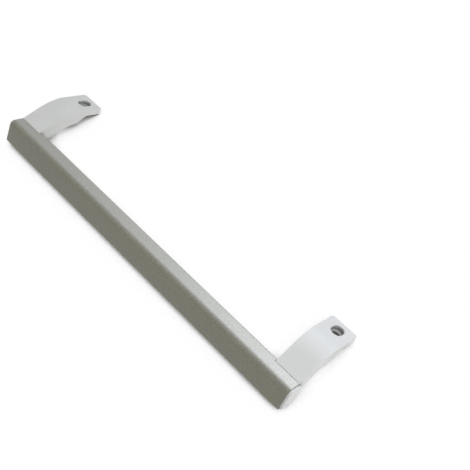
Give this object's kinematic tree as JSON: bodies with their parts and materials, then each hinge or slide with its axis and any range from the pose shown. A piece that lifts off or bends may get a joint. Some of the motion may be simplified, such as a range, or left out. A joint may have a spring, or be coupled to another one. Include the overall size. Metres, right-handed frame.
{
  "type": "refrigerator door handle",
  "caption": "Straight pull handle: a hollow satin aluminium bar held off the door by curved moulded brackets at its ends, screwed down through recessed feet.",
  "frame": {"origin": "midway between the axes of the two door screws, on the plane that the undersides of the feet rest on", "axes": "+X along the bar, +Y from the bar's front face back towards the feet, +Z out of the face that the feet are screwed to"},
  "size_m": [0.35, 0.079, 0.0386],
  "materials": {
    "bar_aluminium": "satin anodised",
    "bracket_plastic": "fine satin, pale silver grey",
    "screw_steel": "zinc plated"
  },
  "bodies": {
    "root": {"grip_bar": "bar_aluminium", "bracket_right": "bracket_plastic", "bracket_left": "bracket_plastic", "fixing_screw_right": "screw_steel", "fixing_screw_left": "screw_steel"}
  },
  "joints": []
}
